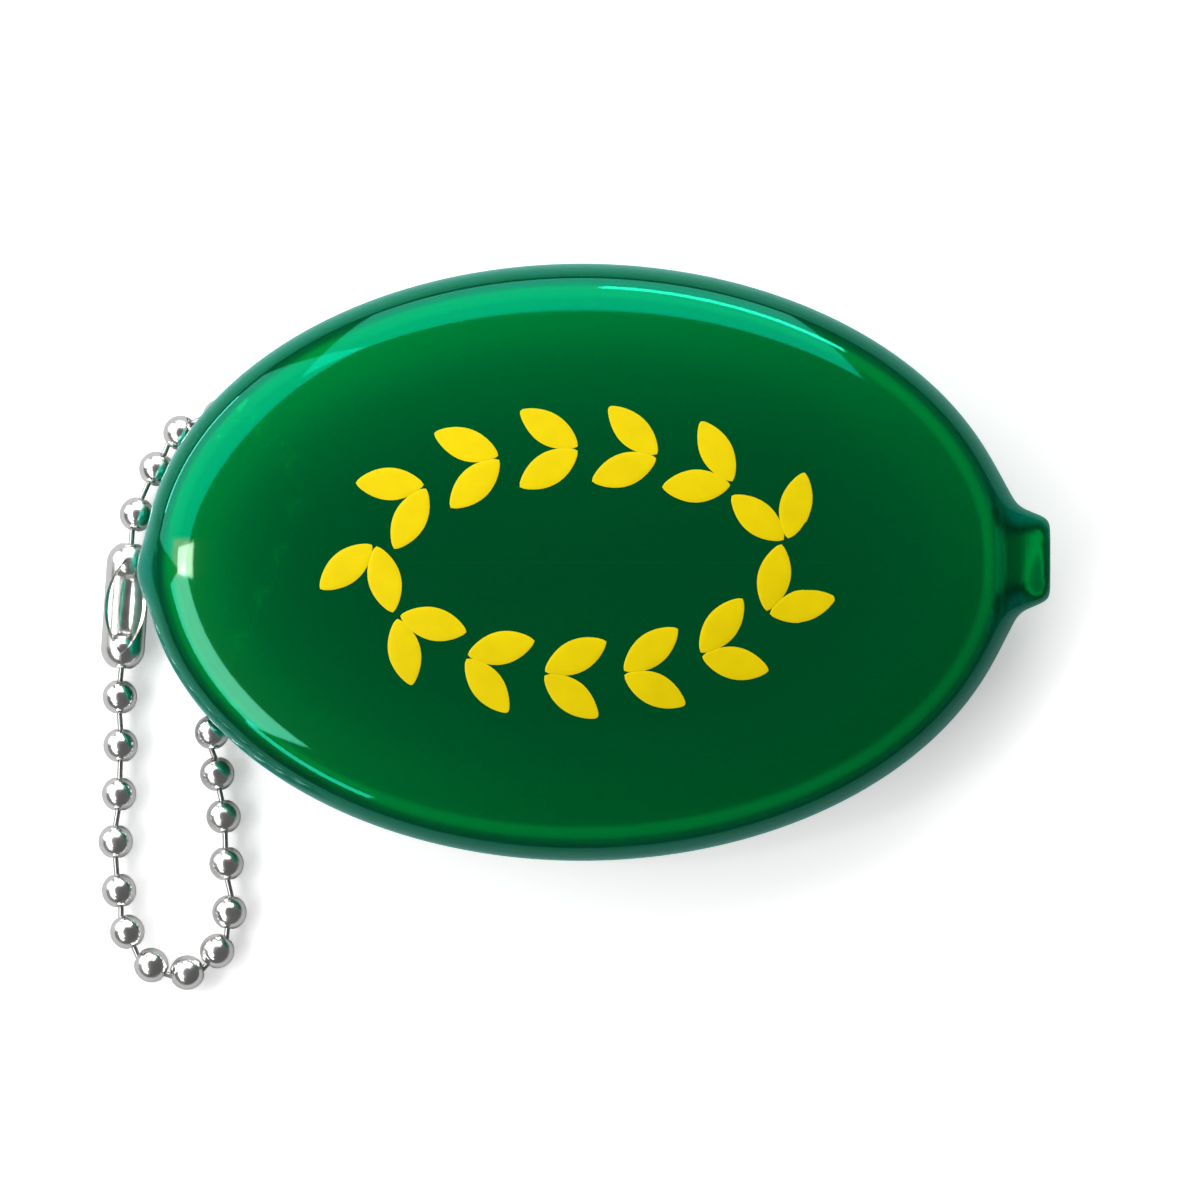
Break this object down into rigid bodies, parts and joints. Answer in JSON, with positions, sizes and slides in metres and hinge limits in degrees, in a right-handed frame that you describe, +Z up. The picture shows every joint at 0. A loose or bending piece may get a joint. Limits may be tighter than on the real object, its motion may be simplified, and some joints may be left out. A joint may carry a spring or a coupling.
{
  "type": "squeeze coin purse",
  "caption": "Oval squeeze coin purse in translucent green vinyl, hollow with a long slit in its back, with a ball chain loop and snap connector for keys.",
  "frame": {"origin": "middle of the flat back of the purse, on the surface that it lies on", "axes": "+X along the oval towards the moulding neck, +Y across it, +Z up out of the front"},
  "size_m": [0.0874, 0.0668, 0.0143],
  "materials": {
    "vinyl": "glossy translucent bottle-green vinyl",
    "bead_metal": "bright nickel plate on hollow steel beads",
    "link_wire": "nickel-plated steel wire",
    "clasp_sheet": "bright nickel plate on rolled steel sheet"
  },
  "bodies": {
    "purse": {"purse_shell": "vinyl", "bead_top_anchor": "bead_metal", "bead_inner_1": "bead_metal", "bead_inner_2": "bead_metal", "bead_inner_3": "bead_metal", "bead_inner_4": "bead_metal", "bead_inner_5": "bead_metal", "bead_inner_6": "bead_metal", "bead_inner_7": "bead_metal", "bead_inner_8": "bead_metal", "bead_low_anchor": "bead_metal", "link_04": "link_wire", "link_05": "link_wire", "link_06": "link_wire", "link_07": "link_wire", "link_08": "link_wire", "link_09": "link_wire", "link_10": "link_wire", "link_11": "link_wire", "link_12": "link_wire"},
    "upper_lip": {"upper_lip": "vinyl"},
    "lower_lip": {"lower_lip": "vinyl"},
    "chain_head": {"bead_top_middle": "bead_metal", "bead_top_outer": "bead_metal", "bead_clasp_upper": "bead_metal", "bead_clasp_lower": "bead_metal", "bead_left_1": "bead_metal", "bead_left_2": "bead_metal", "bead_right_2": "bead_metal", "link_03": "link_wire", "link_02": "link_wire", "link_01": "link_wire", "link_26": "link_wire", "link_25": "link_wire", "link_13": "link_wire"},
    "clasp": {"clasp": "clasp_sheet"},
    "chain_row_1": {"bead_left_3": "bead_metal", "bead_right_3": "bead_metal", "link_24": "link_wire", "link_14": "link_wire"},
    "chain_row_2": {"bead_left_4": "bead_metal", "bead_right_4": "bead_metal", "link_23": "link_wire", "link_15": "link_wire"},
    "chain_row_3": {"bead_left_5": "bead_metal", "bead_right_5": "bead_metal", "link_22": "link_wire", "link_16": "link_wire"},
    "chain_row_4": {"bead_left_6": "bead_metal", "bead_right_6": "bead_metal", "link_21": "link_wire", "link_17": "link_wire"},
    "chain_row_5": {"bead_bottom_1": "bead_metal", "bead_bottom_2": "bead_metal", "link_20": "link_wire", "link_19": "link_wire", "link_18": "link_wire"}
  },
  "joints": [
    {"name": "back_lip_upper_open", "type": "hinge", "parent": "purse", "child": "upper_lip", "pos_m": [0, 0.02735, 0.0072], "axis": [1, 0, 0], "range_deg": [0, 25], "stiffness_Nm_per_rad": 0.02},
    {"name": "back_lip_lower_open", "type": "hinge", "parent": "purse", "child": "lower_lip", "pos_m": [0, -0.02735, 0.0072], "axis": [-1, 0, 0], "range_deg": [0, 25], "stiffness_Nm_per_rad": 0.02},
    {"name": "chain_swing", "type": "hinge", "parent": "purse", "child": "chain_head", "pos_m": [-0.03607, -0.00301, 0.00189], "axis": [-0.1369, 0.9906, -0.0045], "range_deg": [0, 15]},
    {"name": "clasp_swivel", "type": "hinge", "parent": "chain_head", "child": "clasp", "pos_m": [-0.04198, -0.004, 0.00202], "axis": [-0.0663, -0.9978, 0], "continuous": true},
    {"name": "chain_fold_1", "type": "hinge", "parent": "chain_head", "child": "chain_row_1", "pos_m": [-0.03793, -0.01962, 0.00154], "axis": [-0.9614, 0.2748, 0.0134], "range_deg": [0, 20]},
    {"name": "chain_fold_2", "type": "hinge", "parent": "chain_row_1", "child": "chain_row_2", "pos_m": [-0.03775, -0.02383, 0.0016], "axis": [-0.9786, 0.2058, 0], "range_deg": [0, 20]},
    {"name": "chain_fold_3", "type": "hinge", "parent": "chain_row_2", "child": "chain_row_3", "pos_m": [-0.03777, -0.02819, 0.0016], "axis": [-0.9811, 0.1934, 0], "range_deg": [0, 20]},
    {"name": "chain_fold_4", "type": "hinge", "parent": "chain_row_3", "child": "chain_row_4", "pos_m": [-0.03751, -0.03268, 0.0016], "axis": [-0.98, 0.1992, 0], "range_deg": [0, 20]},
    {"name": "chain_fold_5", "type": "hinge", "parent": "chain_row_4", "child": "chain_row_5", "pos_m": [-0.03784, -0.03618, 0.0016], "axis": [-0.9734, 0.2291, 0], "range_deg": [0, 20]}
  ],
  "couplings": [
    {"joint": "back_lip_lower_open", "follows": "back_lip_upper_open", "ratio": 1}
  ]
}
